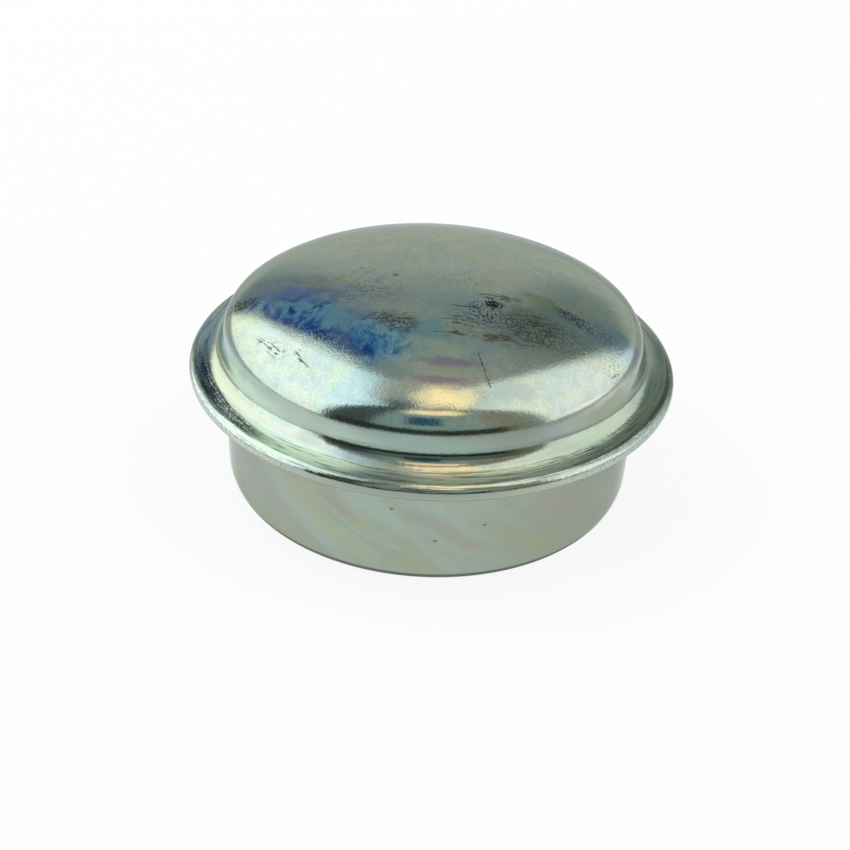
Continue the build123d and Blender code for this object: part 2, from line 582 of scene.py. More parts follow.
def tinted(under, tint, mask, share, within=1.0):
    """A tint laid over a colour by a share of a mask, and only within a second one."""
    return laid_over(plate, under, tint, both(both(mask, share), within))


def laid_on_in_turn(under, films, where, within=1.0):
    """Oval tints laid on in turn, films and painted light alike; each has a centre, half sizes, a turn
    in degrees, a tint and a share.
    """
    for centre, halves, turn_by, tint, share in films.values():
        under = tinted(under, tint, stain(where, centre, *halves, turn_by), share, within)
    return under


crown_clouds = {
    "blue film": ((-17.0, 4.0), (8.0, 4.5), -30, (0.37, 0.46, 0.47), 0.6),
    "pale patch": ((1.7, -0.3), (4.8, 1.8), 0, (0.43, 0.50, 0.47), 0.5),
    "rosy patch": ((7.5, -1.6), (3.6, 2.0), 0, (0.44, 0.43, 0.38), 0.5),
    "brown haze": ((-15.5, -1.6), (7.5, 1.7), -22, (0.33, 0.33, 0.27), 0.6),
    "grey haze": ((-9.5, -6.2), (8.0, 2.4), -14, (0.33, 0.40, 0.45), 0.55),
    "violet haze": ((-16.2, -4.9), (5.2, 1.9), -25, (0.20, 0.26, 0.52), 0.8),
    "pale blue haze": ((2.8, -8.4), (5.6, 3.8), 0, (0.30, 0.43, 0.43), 0.55),
    "teal tail": ((-0.8, -13.2), (3.8, 2.0), -15, (0.20, 0.43, 0.45), 0.7),
    "green tail": ((-1.2, -16.2), (3.8, 1.7), -10, (0.38, 0.50, 0.36), 0.65),
    "pale front": ((1.2, -15.6), (3.4, 1.5), 0, (0.47, 0.53, 0.38), 0.7),
    "dark haze": ((11.0, -9.4), (5.8, 2.8), -10, (0.28, 0.32, 0.27), 0.7),
    "green scuff": ((9.5, -12.6), (7.0, 2.8), -3, (0.30, 0.35, 0.30), 0.65),
    "haze along the streak": ((12.3, -5.9), (5.5, 1.6), -25, (0.28, 0.32, 0.31), 0.7),
    "slate end": ((21.6, -7.6), (2.6, 2.2), -60, (0.22, 0.30, 0.32), 0.9),
    "slate haze": ((20.3, -7.9), (4.8, 2.3), -32, (0.31, 0.42, 0.45), 0.75),
    "dark teal": ((-4.4, -19.4), (4.4, 1.8), -10, (0.25, 0.34, 0.32), 0.7),
    "grey end": ((8.4, -20.0), (3.6, 1.5), 10, (0.34, 0.37, 0.34), 0.6),
}
crown_bands = {
    "yellow tint": ((11.9, -5.8), (3.0, 1.0), -8, (0.44, 0.44, 0.20), 0.75),
    "purple band": ((2.0, -17.6), (5.0, 0.9), 0, (0.305, 0.255, 0.335), 0.85),
    "yellow band": ((1.5, -18.9), (4.0, 0.7), 0, (0.43, 0.46, 0.30), 0.7),
    "lower purple band": ((0.8, -20.0), (4.5, 0.7), 0, (0.31, 0.25, 0.33), 0.85),
}
colour = laid_on_in_turn(laid_on_in_turn(colour, crown_clouds, ragged), crown_bands, frayed)
left_half = stain(ragged, (-11.0, -3.5), 14.0, 5.0, -16)
colour = tinted(colour, (0.26, 0.30, 0.32), ease(plate, smudged, 0.47, 0.62), 0.6, left_half)
print(len(crown_clouds), "clouds and", len(crown_bands), "bands on the crown")

# %% Shades of the blue stain
across_line = (0.642, 0.766, 0)
from_line = measured(plate, "DOT_PRODUCT", frayed, across_line)
mottled = noise(squeezed(spot, (1, 0.7, 1)), 1.7, 5.0, 1.1)
paler = spread(plate, from_line, -17.4, -15.4, -0.03, 0.115)
# Each pale place: centre, half sizes, turn in degrees and how far it lifts the shade.
pale_places = {
    "left end": ((-19.5, -5.8), (3.6, 2.0), -35, 0.13),
    "upper edge": ((-14.3, -8.4), (2.6, 1.4), -38, 0.08),
    "middle": ((-9.6, -12.0), (4.2, 1.7), -35, 0.11),
}
for centre, halves, turn_by, lift in pale_places.values():
    paler = maths(plate, "MULTIPLY_ADD", stain(frayed, centre, *halves, turn_by), lift, paler)
blues = ramp(
    plate, maths(plate, "ADD", mottled, paler),
    (0.41, (0.04, 0.085, 0.27)), (0.49, (0.07, 0.17, 0.42)), (0.55, (0.12, 0.30, 0.48)),
    (0.61, (0.20, 0.44, 0.55)), (0.71, (0.35, 0.57, 0.57)),
)
print(len(pale_places), "pale places in the blue")

# %% The blue stain, partly painted reflection
blue_stain_and_reflection_patches = {
    "along the shoulder": ((-14.0, -9.9), (9.8, 4.8), -39),
    "towards the front": ((-6.1, -14.5), (6.6, 4.0), -22),
    "at the left end": ((-19.6, -5.6), (3.6, 1.9), -35),
}
blue_stain_and_reflection_mask = 0.0
for centre, halves, turn_by in blue_stain_and_reflection_patches.values():
    blue_stain_and_reflection_mask = maths(plate, "MAXIMUM", blue_stain_and_reflection_mask, stain(ragged, centre, *halves, turn_by))
# Painted reflection in part: the navy stands for the dark room mirrored on the crown, and the mask
# stops where the shoulder mirrors the bright soft box.
colour = tinted(colour, blues, blue_stain_and_reflection_mask, 1.0, ease(plate, from_line, -18.9, -17.9))
print("blue stain of", len(blue_stain_and_reflection_patches), "patches")

# %% [markdown]
# Scuffs, specks and scratches
#
# Handling left dark specks, scuffed clouds, thin scratches, short nicks and hatched strokes. Specks
# are fine noise cut off at a level, and they show only inside soft ovals. A scratch is the distance to
# a line between two places, and a coarser noise breaks it up, because a real one skips. Nicks and
# strokes could be drawn line by line too. Noise that is stretched one way gives whole patches of them.

# %% Specks and scuffs
middle_lift = 0.1  # specks are denser in the middle of a patch
speck_start, speck_full = 0.06, 0.16  # above a patch's own level
fine_specks = noise(squeezed(spot, (1, 0.6, 1)), 0.22, 2.0)
# Each patch: centre, half sizes, turn in degrees, tint, share and level.
specked = {
    "black blot": ((6.5, -8.0), (1.6, 1.3), 0, (0.015, 0.02, 0.02), 1.0, 0.40),
    "dots round the blot": ((5.6, -9.0), (3.4, 2.6), 0, (0.03, 0.035, 0.035), 0.8, 0.54),
    "specks below the blot": ((4.8, -10.8), (4.6, 2.2), 15, (0.05, 0.06, 0.06), 0.7, 0.54),
    "scuffed cloud": ((10.4, -11.0), (6.6, 3.8), -5, (0.06, 0.07, 0.06), 0.55, 0.49),
    "fine scuffs": ((13.5, -11.6), (8.5, 4.0), -18, (0.10, 0.12, 0.10), 0.38, 0.50),
    "purple streak": ((15.6, -7.2), (3.8, 1.5), -30, (0.06, 0.06, 0.14), 0.9, 0.45),
    "slate specks": ((19.0, -8.4), (5.0, 2.8), -30, (0.12, 0.19, 0.25), 0.65, 0.49),
    "brown spots": ((-4.6, -11.5), (4.2, 1.4), -16, (0.09, 0.08, 0.05), 0.7, 0.46),
    "dark spots beside the blue": ((-3.4, -12.8), (3.2, 1.5), -15, (0.05, 0.07, 0.08), 0.7, 0.46),
    "rust spot": ((6.3, -13.5), (1.1, 0.8), 0, (0.20, 0.13, 0.06), 0.9, 0.42),
    "small rust spot": ((2.4, -13.4), (0.9, 0.5), 0, (0.15, 0.11, 0.07), 0.9, 0.42),
    "specks at the left end": ((-22.0, -3.6), (3.6, 2.0), -28, (0.05, 0.065, 0.06), 0.95, 0.42),
    "specks along the line": ((-12.5, -12.9), (9.0, 1.1), -40, (0.03, 0.05, 0.10), 0.75, 0.50),
    "specks in the blue": ((-6.5, -14.0), (8.0, 3.0), -30, (0.03, 0.06, 0.14), 0.4, 0.55),
    "specks on the left": ((-9.0, -5.5), (10.0, 4.0), -15, (0.19, 0.21, 0.19), 0.6, 0.55),
    "specks in the middle": ((3.0, -4.0), (9.0, 3.0), 0, (0.19, 0.21, 0.19), 0.5, 0.59),
    "specks on the right shoulder": ((20.0, -12.6), (4.5, 3.0), -45, (0.22, 0.21, 0.13), 0.6, 0.56),
    "spot on the crown": ((-4.5, -3.3), (0.7, 0.4), 0, (0.15, 0.16, 0.12), 0.8, 0.35),
    "second spot": ((-8.6, -1.1), (0.5, 0.4), 0, (0.2, 0.2, 0.12), 0.7, 0.35),
}
for centre, halves, turn_by, tint, share, level in specked.values():
    inside = stain(frayed, centre, *halves, turn_by)
    raised = maths(plate, "MULTIPLY_ADD", inside, middle_lift, fine_specks)
    dots = ease(plate, raised, level + speck_start, level + speck_full)
    colour = tinted(colour, tint, dots, share, inside)
print(len(specked), "patches of specks")


# %% Scratches
def scratch(start, end, half_width):
    """Mask of one scratch between two places on the crown, in millimetres."""
    feeds = {"Place": scratched, "From": (*start, 0), "To": (*end, 0), "Half Width": half_width}
    return place(plate, "ShaderNodeGroup", feeds, node_tree=scratch_mask).outputs["Mask"]


scratched = wandering(spot, spot, 0.7, (0.5, 0.5, 0))
skips = ease(plate, noise(spot, 0.4, 1.0), 0.40, 0.53)
# Each scratch: its two ends, its half width, and how much it skips.
scratches = {
    "long, down the front": ((4.8, -16.1), (6.1, -20.2), 0.12, 0.4),
    "above the blot": ((4.6, -6.5), (7.7, -5.9), 0.11, 1.0),
    "right of the blot": ((6.0, -7.0), (9.6, -6.6), 0.11, 1.0),
    "brown, on the right": ((4.2, -13.6), (12.5, -12.9), 0.11, 1.0),
    "right shoulder": ((19.6, -13.9), (20.4, -12.9), 0.1, 1.0),
}
lines = 0.0
for start, end, half_width, skipping in scratches.values():
    pressed = spread(plate, skips, 0.0, 1.0, 1 - skipping, 1.0)
    lines = maths(plate, "MAXIMUM", lines, both(scratch(start, end, half_width), pressed))
print(len(scratches), "scratches")

# %% Nicks
nick_turn = 51
stroke_start, stroke_full = 0.5, 0.58
nick_noise = noise(squeezed(swung(plate, spot, radians(nick_turn)), (0.2, 1, 0)), 0.22, 1.0)
nicks = ease(plate, nick_noise, stroke_start, stroke_full)
nicked = {
    "upper left shoulder": ((-18.3, -12.3), (1.8, 0.7), -nick_turn),
    "left shoulder": ((-16.8, -14.0), (2.4, 1.0), -nick_turn),
    "lower left shoulder": ((-13.8, -16.2), (2.4, 0.45), -60),
}
for centre, halves, turn_by in nicked.values():
    inside = stain(frayed, centre, *halves, turn_by)
    lines = maths(plate, "MAXIMUM", lines, both(nicks, inside))
lines = both(lines, on_top)
colour = tinted(colour, (0.06, 0.06, 0.05), lines, 0.85)
print(len(nicked), "patches of nicks")

# %% Hatched strokes
strokes = ease(plate, noise(squeezed(spot, (0.14, 1, 0)), 0.24, 1.5), stroke_start, stroke_full)
hatched = {
    "brown, on the left": ((1.8, -13.6), (3.6, 1.0), 4, (0.15, 0.12, 0.08), 0.85),
    "brown, on the right": ((8.0, -13.4), (5.4, 1.3), 4, (0.12, 0.10, 0.08), 0.8),
    "black, above the blot": ((7.2, -6.6), (3.6, 0.9), 6, (0.03, 0.03, 0.03), 0.9),
    "black, left of the blot": ((3.4, -8.9), (3.0, 0.8), 6, (0.05, 0.05, 0.05), 0.8),
    "dark, right of the blot": ((10.8, -10.4), (6.2, 3.2), -4, (0.07, 0.08, 0.06), 0.7),
    "dark, below the blot": ((4.0, -11.2), (5.0, 2.4), 3, (0.07, 0.08, 0.07), 0.6),
    "dark, above the blue stain": ((-4.5, -11.4), (4.8, 1.6), -12, (0.09, 0.08, 0.05), 0.7),
    "grey, on the left": ((-9.0, -6.4), (9.0, 2.6), -14, (0.17, 0.19, 0.18), 0.5),
}
colour = laid_on_in_turn(colour, hatched, frayed, strokes)
print(len(hatched), "patches of strokes")

# %% [markdown]
# Wall, flange and rim
#
# The film is pale blue on the wall's left, green in front, and olive and grey-blue on its right. The
# wall's pale tints on the left and along its top on the right are partly painted reflection: they are
# raised to stand in for the brightly lit table that the wall mirrors there. The flange was rolled
# over a tool, which left fine lines all the way round it. Its film is yellow and lilac on the left,
# green, slate and pale in front, and olive on the right. Grime sits on its outer half on the left
# front and in a line on the right. In front, in the crease where the wall stands on it, a dark band is
# painted shade, the dark table front mirrored there. Its rim is lighter and slightly hammered on both
# sides, and painted darker in front, as painted shade where it mirrors the cap's shadow on the table.
# Places kept as way round and height, or as way round and distance from the axis, make all of these
# simple ovals again.

# %% Films on the wall, partly painted reflection
# The pale tints on the wall's left and along its top on the right are partly painted reflection, raised
# to stand in for the brightly lit table that the wall mirrors there.
wall_films_and_painted_reflection = {
    "pale blue film and painted reflection": ((-28.0, 17.7), (23.0, 2.6), 0, (0.46, 0.59, 0.52), 0.95),
    "pale green cloud and painted reflection": ((-26.0, 17.5), (12.0, 1.2), 0, (0.59, 0.76, 0.60), 0.9),
    "green film": ((-1.0, 17.6), (14.0, 1.9), 0, (0.42, 0.57, 0.50), 0.85),
    "olive film": ((24.0, 17.5), (14.0, 2.3), 0, (0.36, 0.43, 0.31), 0.85),
    "grey blue film": ((31.0, 18.1), (9.0, 1.5), 0, (0.47, 0.56, 0.55), 0.85),
    "far left film and painted reflection": ((-33.0, 19.2), (10.0, 1.7), 0, (0.56, 0.71, 0.75), 0.9),
    "grey film": ((14.0, 17.8), (6.0, 1.6), 0, (0.43, 0.52, 0.49), 0.7),
    "painted reflection along the top": ((22.0, 19.4), (9.0, 1.1), 0, (0.60, 0.64, 0.58), 0.9),
}
colour = laid_on_in_turn(colour, wall_films_and_painted_reflection, run_down, on_wall)
print(len(wall_films_and_painted_reflection), "films and painted reflection on the wall")

# %% Films on the flange
# Each film: centre as way round and distance from the axis, half sizes, tint, share and dullness.
flange_films = {
    "yellow film": ((-33.0, 26.2), (17.0, 1.3), (0.47, 0.48, 0.33), 0.85, 0.0),
    "blue grey film": ((-41.5, 26.8), (9.0, 2.2), (0.50, 0.64, 0.64), 0.9, 0.0),
    "lilac film": ((-13.0, 26.1), (10.0, 0.9), (0.47, 0.46, 0.41), 0.8, 0.0),
    "green film": ((-15.0, 27.5), (15.0, 1.5), (0.61, 0.75, 0.57), 0.95, 0.45),
    "rosy film": ((-22.5, 26.3), (6.0, 1.0), (0.46, 0.44, 0.36), 0.6, 0.0),
    "pale film": ((6.0, 27.3), (14.0, 1.4), (0.56, 0.60, 0.45), 0.85, 0.1),
    "film in the hollow": ((3.0, 25.9), (15.0, 0.7), (0.36, 0.36, 0.29), 0.5, 0.0),
    "pale green film": ((19.0, 26.0), (12.0, 1.1), (0.32, 0.385, 0.295), 0.9, 0.0),
    "grey blue film": ((31.0, 26.0), (10.0, 1.2), (0.25, 0.31, 0.27), 0.95, 0.0),
    "olive film": ((27.0, 27.4), (15.0, 1.4), (0.36, 0.40, 0.28), 0.85, 0.0),
    "blue film in the hollow": ((-6.0, 26.0), (5.5, 0.9), (0.27, 0.36, 0.37), 0.8, 0.15),
    "left end of the hollow": ((-12.3, 25.6), (2.8, 0.9), (0.30, 0.33, 0.30), 0.6, 0.0),
    "right end of the hollow": ((14.0, 25.6), (3.2, 0.9), (0.30, 0.33, 0.28), 0.5, 0.0),
    "slate film": ((-4.5, 27.9), (5.0, 1.6), (0.28, 0.35, 0.32), 0.85, 0.0),
    "grey film": ((41.0, 27.0), (7.0, 2.0), (0.26, 0.29, 0.26), 0.7, 0.0),
}
dullness = 0.02
for centre, halves, tint, share, dull in flange_films.values():
    mask = both(stain(rolled, centre, *halves), on_flange)
    colour = tinted(colour, tint, mask, share)
    dullness = maths(plate, "MULTIPLY_ADD", mask, dull, dullness) if dull else dullness
print(len(flange_films), "films on the flange")

# %% Rolled lines, grime, and painted shade in the crease
outwards = joined(plate, 0, 0, maths(plate, "SUBTRACT", radius, height))
rings = noise(vectors(plate, "ADD", squeezed(spot, (0.05, 0.05, 0)), outwards), 0.24, 2.0)
colour = tinted(colour, (0.16, 0.18, 0.15), ease(plate, rings, 0.54, 0.61), 0.65, on_outer_half)

grimy = {
    "blue edge": ((-38.0, 27.1), (15.0, 0.9), (0.08, 0.13, 0.27), 0.85),
    "black band": ((-34.0, 27.6), (22.0, 1.2), (0.04, 0.045, 0.045), 0.92),
    "line on the right": ((27.0, 28.4), (17.0, 0.6), (0.07, 0.08, 0.07), 0.7),
}
broken = ease(plate, maths(plate, "MULTIPLY_ADD", fine_specks, 0.5, rings), 0.92, 0.72)
broken = both(broken, ease(plate, around, -38.0, -31.0))
for centre, halves, tint, share in grimy.values():
    mask = ease(plate, stain(rolled, centre, *halves), 0.05, 0.35)
    colour = tinted(colour, tint, both(mask, broken), share, on_flange)
# Painted shade: in front, a dark band in the crease at the wall's foot stands for the dark table front
# mirrored there.
painted_shade_in_crease = both(between(height, 16.5, 16.85, 0.12), between(around, -4.5, 7.0, 8.0))
colour = tinted(colour, (0.13, 0.14, 0.12), painted_shade_in_crease, 0.85)
print(len(grimy), "bands of grime")

# %% Marks on the rim
rim_tones_and_painted_shade = {
    "left": ((-31.0, 14.3), (25.0, 1.2), 0, (0.70, 0.77, 0.72), 0.85),
    "right": ((22.0, 14.4), (15.0, 1.2), 0, (0.52, 0.60, 0.57), 0.8),
    # Painted shade: the rim's front is darkened where it mirrors the cap's shadow on the table.
    "shaded, in front": ((-0.5, 14.35), (15.0, 0.6), 0, (0.30, 0.335, 0.29), 0.8),
}
colour = laid_on_in_turn(colour, rim_tones_and_painted_shade, unrolled, on_rim)
knocked_sides = between(around, 16.0, 36.0, 8.0), between(around, -70.0, -16.0, 8.0)
knocked_rim = both(maths(plate, "MAXIMUM", *knocked_sides), on_rim)
colour = tinted(colour, (0.13, 0.15, 0.13), ease(plate, fine_specks, 0.55, 0.68), 0.55, knocked_rim)
print(len(rim_tones_and_painted_shade), "tones and painted shade on the rim")

# %% [markdown]
# Skirt
#
# The skirt is cleaner. The film's runs slant across it, paler on the left and greyer on the right,
# and there are a few specks. A dark line along the lower edge is painted shade: there the lead-in
# mirrors the cap's shadow on the table. The runs are long ovals on the unrolled skirt, turned by
# about the slant at which the film dried.

# %% Marks on the skirt
skirt_films = {
    "pale film": ((-22.0, 7.5), (14.0, 9.0), 0, (0.375, 0.43, 0.36), 0.65),
    "grey film": ((23.0, 6.5), (22.0, 14.0), 0, (0.305, 0.33, 0.28), 0.85),
    "lilac run": ((-20.5, 6.4), (9.0, 2.0), -36, (0.37, 0.38, 0.38), 0.6),
    "pale run": ((-15.0, 6.0), (13.0, 2.0), -36, (0.37, 0.46, 0.41), 0.6),
    "yellow run": ((-10.8, 5.2), (11.0, 1.6), -36, (0.39, 0.43, 0.29), 0.6),
    "blue run": ((-6.0, 9.6), (9.0, 2.4), -28, (0.345, 0.445, 0.395), 0.75),
    "grey run": ((2.0, 7.0), (9.0, 1.6), -30, (0.315, 0.335, 0.30), 0.7),
    "rosy film": ((16.0, 8.0), (6.0, 2.6), -18, (0.335, 0.335, 0.295), 0.7),
    "yellow film": ((12.5, 3.8), (7.0, 2.0), -24, (0.33, 0.36, 0.245), 0.7),
    "green film": ((23.0, 6.0), (5.0, 3.0), -30, (0.31, 0.37, 0.30), 0.6),
    "lilac film": ((-26.0, 6.5), (4.5, 4.5), 20, (0.42, 0.40, 0.41), 0.8),
    "blue film": ((-31.5, 5.0), (3.0, 4.5), 10, (0.36, 0.45, 0.44), 0.75),
}
skirt_specks = {
    "first speck": ((-3.5, 9.4), (0.3, 0.22), 0, (0.1, 0.12, 0.12), 0.9),
    "second speck": ((1.3, 5.5), (0.35, 0.2), 0, (0.12, 0.14, 0.14), 0.9),
    "third speck": ((6.6, 7.4), (0.35, 0.2), 0, (0.14, 0.16, 0.15), 0.9),
}
colour = laid_on_in_turn(colour, skirt_films, run_down, below_flange)
colour = laid_on_in_turn(colour, skirt_specks, unrolled, below_flange)
# Painted shade: a dark line along the lower edge, where the lead-in mirrors the cap's shadow on the
# table.
colour = tinted(colour, (0.09, 0.10, 0.09), between(height, 0.25, 0.6, 0.2), 0.85)
print(len(skirt_films), "films and", len(skirt_specks), "specks on the skirt")

# %% [markdown]
# Colour, gloss and relief
#
# All marks are on the outside. The inside keeps the plain film, duller, because the plate is thin
# there. Grain, films and scratches make the gloss uneven too. Relief of a few hundredths of a
# millimetre, such as the rolled lines and the hammered rim, could be modelled, but it would take
# millions of faces. Bump turns the light in the same way.

# %% Colour and gloss
dull_inside = laid_over(plate, film_colour, (0.75, 0.72, 0.66), 1.0, "MULTIPLY")
finished_colour = laid_over(plate, dull_inside, colour, outside)
plate.links.new(finished_colour, shader.inputs["Base Color"])

smoothest, roughest = 0.07, 0.12
inside_roughness, scratch_roughness = 0.34, 0.2
roughness = spread(plate, grain, 0.3, 0.7, smoothest, roughest)
roughness = maths(plate, "ADD", roughness, dullness)
roughness = maths(plate, "MULTIPLY_ADD", lines, scratch_roughness, roughness)
roughness = spread(plate, outside, 0.0, 1.0, inside_roughness, roughness)
plate.links.new(roughness, shader.inputs["Roughness"])
print("colour and gloss with", len(plate.nodes), "nodes so far")

# %% Relief
relief_unit = 0.008 * MM
side_grain, top_grain = 0.6, 0.9
# Each kind of relief: its noise, where it is, and its depth in relief units.
reliefs = {
    "rolled lines": (rings, on_outer_half, 3.0),
    "hammered rim": (noise(spot, 0.7, 1.0), knocked_rim, 8.0),
    "wavy flange": (noise(spot, 1.2, 1.5), on_flange, 3.0),
}
relief = both(grain, spread(plate, on_top, 0.0, 1.0, side_grain, top_grain))
for bumps, within, depth in reliefs.values():
    relief = maths(plate, "MULTIPLY_ADD", both(bumps, within), depth, relief)
bump = place(plate, "ShaderNodeBump", {"Height": relief, "Distance": relief_unit, "Strength": 1.0})
plate.links.new(bump.outputs["Normal"], shader.inputs["Normal"])
print("plate of", len(plate.nodes), "nodes")

# %% [markdown]
# The studio
#
# Bright metal shows the room it stands in, so the light is a tent all round the table: a tall soft box
# on either side, a grey wall and dark flags in front, a warm lamp overhead and a grey room behind.
# Lamps would light the cap too, but they mirror as small hard spots. The tent is half a sphere, and its
# inside is painted patch by patch, each with soft edges. A patch is given by longitudes and latitudes
# as seen from the cap: 0 is towards the camera, 90 to the right. Every ray from the table ends on the
# tent anyway, so Cycles needs no list of lamps to aim at, and that makes the picture quick.


# %% Paint for the tent
def smooth_step(value, low, high):
    """0 below low, 1 above high, and an even ease between them."""
    if high <= low:
        return float(value >= low)
    share = min(1.0, max(0.0, (value - low) / (high - low)))
    return share * share * (3 - 2 * share)


def graded(colours, share):
    """A colour between those listed, from the first at 0 to the last at 1."""
    place_in_list = min(1.0, max(0.0, share)) * (len(colours) - 1)
    first = min(int(place_in_list), len(colours) - 2) if len(colours) > 1 else 0
    second = min(first + 1, len(colours) - 1)
    return [a + (b - a) * (place_in_list - first) for a, b in zip(colours[first], colours[second])]


def patch(longitudes, latitudes, glow, feather):
    """A soft-edged patch of the tent: its glow runs from foot to top, its feather is in degrees."""
    (west, east), (low, high) = longitudes, latitudes
    middle, half = (west + east) / 2, (east - west) / 2

    def paint(longitude, latitude, under):
        aside = abs((longitude - middle + 180) % 360 - 180)
        cover = smooth_step(half - aside, 0, feather[0]) if half < 180 else 1.0
        for inside in (latitude - low, high - latitude):
            cover *= smooth_step(inside, 0, feather[1])
        colour = graded(glow, (latitude - low) / (high - low))
        return [a + (b - a) * cover for a, b in zip(under, colour)]

    return paint


# %% What the tent shows
room = [
    (0.73, 0.76, 0.68), (0.70, 0.72, 0.66), (0.59, 0.63, 0.61), (0.40, 0.45, 0.47),
    (0.40, 0.45, 0.45), (0.57, 0.57, 0.53), (1.6, 1.2, 0.85),
]
left_box = [(1.48, 1.68, 1.62), (1.92, 2.07, 2.07), (1.5, 1.78, 1.9)]
right_box = [(1.32, 1.36, 1.42), (1.68, 1.68, 1.66), (1.26, 1.38, 1.3)]
left_dark = [(0.36, 0.42, 0.5), (0.24, 0.32, 0.42), (0.16, 0.28, 0.46)]
right_dark = [(0.42, 0.48, 0.5), (0.25, 0.31, 0.31), (0.36, 0.4, 0.4)]
front_grey = [(0.31, 0.4, 0.38), (0.41, 0.53, 0.51), (0.4, 0.46, 0.44)]
# Each patch: longitudes, latitudes, glow and feather. A later one covers those before it.
tent_patches = {
    "left gap": patch((-166, -136), (2, 68), left_dark, (14, 6)),
    "right gap": patch((122, 167), (9, 62), right_dark, (12, 10)),
    "left soft box": patch((-144, -48), (-8, 78), left_box, (6, 8)),
    "dim corner of the left box": patch((-79, -46), (60, 80), [(1.1, 1.3, 1.35)], (10, 6)),
    "right soft box": patch((53, 137), (-10, 80), right_box, (10, 8)),
    "front wall": patch((-56, 62), (-8, 77), front_grey, (6, 3)),
    "foot of the left box": patch((-147, -48), (-6, 3.5), [(0.55, 0.6, 0.57)], (6, 2)),
    "foot of the right box": patch((53, 138), (-6, 3.5), [(0.6, 0.63, 0.6)], (8, 2)),
    "left flag": patch((-56, -26), (-4, 79), [(0.09, 0.1, 0.09), (0.12, 0.14, 0.14)], (6, 4)),
    "right flag": patch((26, 60), (-4, 68), [(0.33, 0.34, 0.28), (0.42, 0.38, 0.3)], (12, 6)),
    "camera flag": patch((-15, 10), (28, 56), [(0.06, 0.14, 0.22)], (5, 5)),
    "table front": patch((-57, 47), (1, 20), [(0.05, 0.06, 0.05)], (13, 4)),
    "small lamp": patch((-24, 34), (60, 77), [(1.85, 1.42, 0.96), (2.1, 1.56, 1.0)], (8, 4)),
    "ceiling lamp": patch((-180, 180), (81, 99), [(2.1, 1.55, 0.98)], (0, 2)),
    "side of ceiling lamp": patch((35, 140), (76, 99), [(2.2, 1.7, 1.05)], (15, 2)),
    "gap under the ceiling lamp": patch((-30, 52), (76, 83.4), [(0.55, 0.55, 0.5)], (15, 2)),
    "left of the ceiling lamp": patch((-178, -15), (78, 86.2), [(0.58, 0.62, 0.56)], (20, 2)),
    "upper left flag": patch((-80, -25), (73, 84), [(0.17, 0.18, 0.2)], (12, 3)),
}

# %% Make the tent
tent_radius = 2.0
tent_columns, tent_rows = 180, 60
lowest_latitude = -1.0


def toward(longitude, latitude):
    """Unit vector to a place on the tent, from angles in degrees."""
    lon, lat = radians(longitude), radians(latitude)
    return Vector((sin(lon) * cos(lat), -cos(lon) * cos(lat), sin(lat)))


def light_tent():
    """Half a sphere round the table, with the light that each point gives kept as an attribute."""
    corners, glow, faces = [], [], []
    for j in range(tent_rows + 1):
        latitude = lowest_latitude + (90 - lowest_latitude) * j / tent_rows
        for i in range(tent_columns):
            longitude = -180 + 360 * i / tent_columns
            corners.append(toward(longitude, latitude) * tent_radius)
            colour = graded(room, latitude / 90)
            for paint in tent_patches.values():
                colour = paint(longitude, latitude, colour)
            glow.append(colour)
    for j in range(tent_rows):
        for i in range(tent_columns):
            here, beside = j * tent_columns + i, j * tent_columns + (i + 1) % tent_columns
            faces.append((here, here + tent_columns, beside + tent_columns, beside))
    mesh = bpy.data.meshes.new("light_tent")
    mesh.from_pydata(corners, [], faces)
    layer = mesh.color_attributes.new("glow", "FLOAT_COLOR", "POINT")
    for point, colour in zip(layer.data, glow):
        point.color = (*colour, 1)
    mesh.materials.append(tent_cloth())
    made = bpy.data.objects.new("light_tent", mesh)
    scene.collection.objects.link(made)
    made.visible_camera = False
    return made


def tent_cloth():
    """Cloth that gives off the light painted on it."""
    cloth = bpy.data.materials.new("tent_cloth")
    cloth.use_nodes = True
    cloth.node_tree.nodes.clear()
    cloth.cycles.emission_sampling = "NONE"
    painted = place(cloth.node_tree, "ShaderNodeAttribute", attribute_name="glow")
    light = place(cloth.node_tree, "ShaderNodeEmission", {"Color": painted.outputs["Color"]})
    place(cloth.node_tree, "ShaderNodeOutputMaterial", {"Surface": light.outputs[0]})
    return cloth


tent = light_tent()
print("tent of", len(tent.data.polygons), "faces with", len(tent_patches), "patches")

# %% [markdown]
# Floor and world
#
# The table is plain white. A lit white sheet would come out pale grey and pick up the tent's colours,
# so the camera, and the mirror-like metal with it, see it as mostly pure white, and the small lit share
# that is left still takes the cap's soft shadow. Further out, in front, on the right and behind, the
# table lies in shade, which only the metal sees. From below the table is clear, so that the open end
# can be looked at.

# %% The table's white
white_share = 0.88
# Each shade: direction from the cap, where it begins and is full in metres, and the light that is left.
table_shades = {
    "in front": ((0.34, -0.94, 0), 0.06, 0.11, 0.66),
    "on the right": ((1, 0, 0), 0.04, 0.09, 0.84),
    "behind": ((0, 1, 0), 0.03, 0.06, 0.66),
}


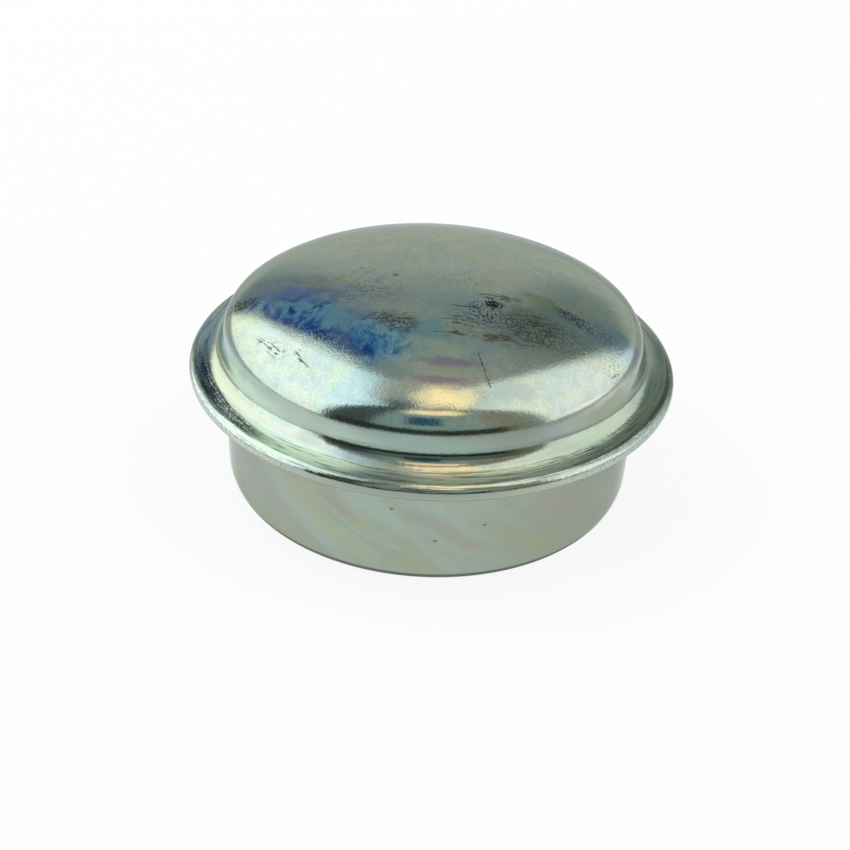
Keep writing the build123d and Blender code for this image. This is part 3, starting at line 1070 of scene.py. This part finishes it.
def whitened(tree, lit):
    """The lit shader, with a share of white for camera, glossy and transmission rays."""
    rays = place(tree, "ShaderNodeLightPath").outputs
    seen = rays["Is Camera Ray"]
    for kind in ("Is Glossy Ray", "Is Transmission Ray"):
        seen = maths(tree, "MAXIMUM", seen, rays[kind])
    where = place(tree, "ShaderNodeTexCoord").outputs["Object"]
    strength = 1.0
    for direction, begin, full, least in table_shades.values():
        out_there = ease(tree, measured(tree, "DOT_PRODUCT", where, direction), begin, full)
        strength = maths(tree, "MULTIPLY", spread(tree, out_there, 0.0, 1.0, 1.0, least), strength)
    strength = maths(tree, "MAXIMUM", strength, rays["Is Camera Ray"])
    white = place(tree, "ShaderNodeEmission", {"Color": (1, 1, 1, 1), "Strength": strength})
    share = maths(tree, "MULTIPLY", seen, white_share)
    return place(tree, "ShaderNodeMixShader", {0: share, 1: lit, 2: white.outputs[0]})


def clear_from_below(tree, shader):
    """The shader on the upper face only."""
    below = place(tree, "ShaderNodeNewGeometry").outputs["Backfacing"]
    clear = place(tree, "ShaderNodeBsdfTransparent")
    return place(tree, "ShaderNodeMixShader", {0: below, 1: shader, 2: clear.outputs[0]})


# %% Floor and world
table_radius = tent_radius
round_steps = 96
paper = bpy.data.materials.new("white_table")
paper.use_nodes = True
paper.node_tree.nodes.clear()
matt = place(paper.node_tree, "ShaderNodeBsdfDiffuse", {"Color": (0.9, 0.9, 0.9, 1)})
seen_white = whitened(paper.node_tree, matt.outputs[0])
upper_face = clear_from_below(paper.node_tree, seen_white.outputs[0])
place(paper.node_tree, "ShaderNodeOutputMaterial", {"Surface": upper_face.outputs[0]})

bearings = [2 * pi * i / round_steps for i in range(round_steps)]
table_edge = [(table_radius * cos(a), table_radius * sin(a), 0) for a in bearings]
table_mesh = bpy.data.meshes.new("table")
table_mesh.from_pydata(table_edge, [], [range(round_steps)])
table_mesh.materials.append(paper)
table = bpy.data.objects.new("table", table_mesh)
scene.collection.objects.link(table)

world = bpy.data.worlds.new("white_room")
scene.world = world
world.use_nodes = True
world.node_tree.nodes["Background"].inputs["Color"].default_value = (1, 1, 1, 1)
world.node_tree.nodes["Background"].inputs["Strength"].default_value = 1.0
print("table of", len(table_edge), "corners")

# %% [markdown]
# The camera
#
# The camera stands some 14 centimetres from the cap and looks down on it. It could be set by eye, but
# a few millimetres already shift every reflection. So its place was worked out from the outlines of
# skirt, flange and dome, which also show that it was held a little askew.

# %% Camera
eye = Vector((0, -118.629, 82.022)) * MM
aim = Vector((-0.46, 0, 3.882)) * MM
roll = radians(2.728)
lens = 47.536

camera_data = bpy.data.cameras.new("camera")
camera_data.lens = lens
camera_data.sensor_width = 36
camera_data.clip_start, camera_data.clip_end = 0.01, 20
camera = bpy.data.objects.new("camera", camera_data)
scene.collection.objects.link(camera)
facing = (aim - eye).to_track_quat("-Z", "Y").to_matrix().to_4x4()
camera.matrix_world = Matrix.Translation(eye) @ facing @ Matrix.Rotation(roll, 4, "Z")
scene.camera = camera
print(f"camera {(aim - eye).length / MM:.0f} mm from the cap")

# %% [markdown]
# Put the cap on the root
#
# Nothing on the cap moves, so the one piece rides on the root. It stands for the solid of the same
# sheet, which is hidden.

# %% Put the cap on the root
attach(cap, "root")
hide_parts("grease_cap")
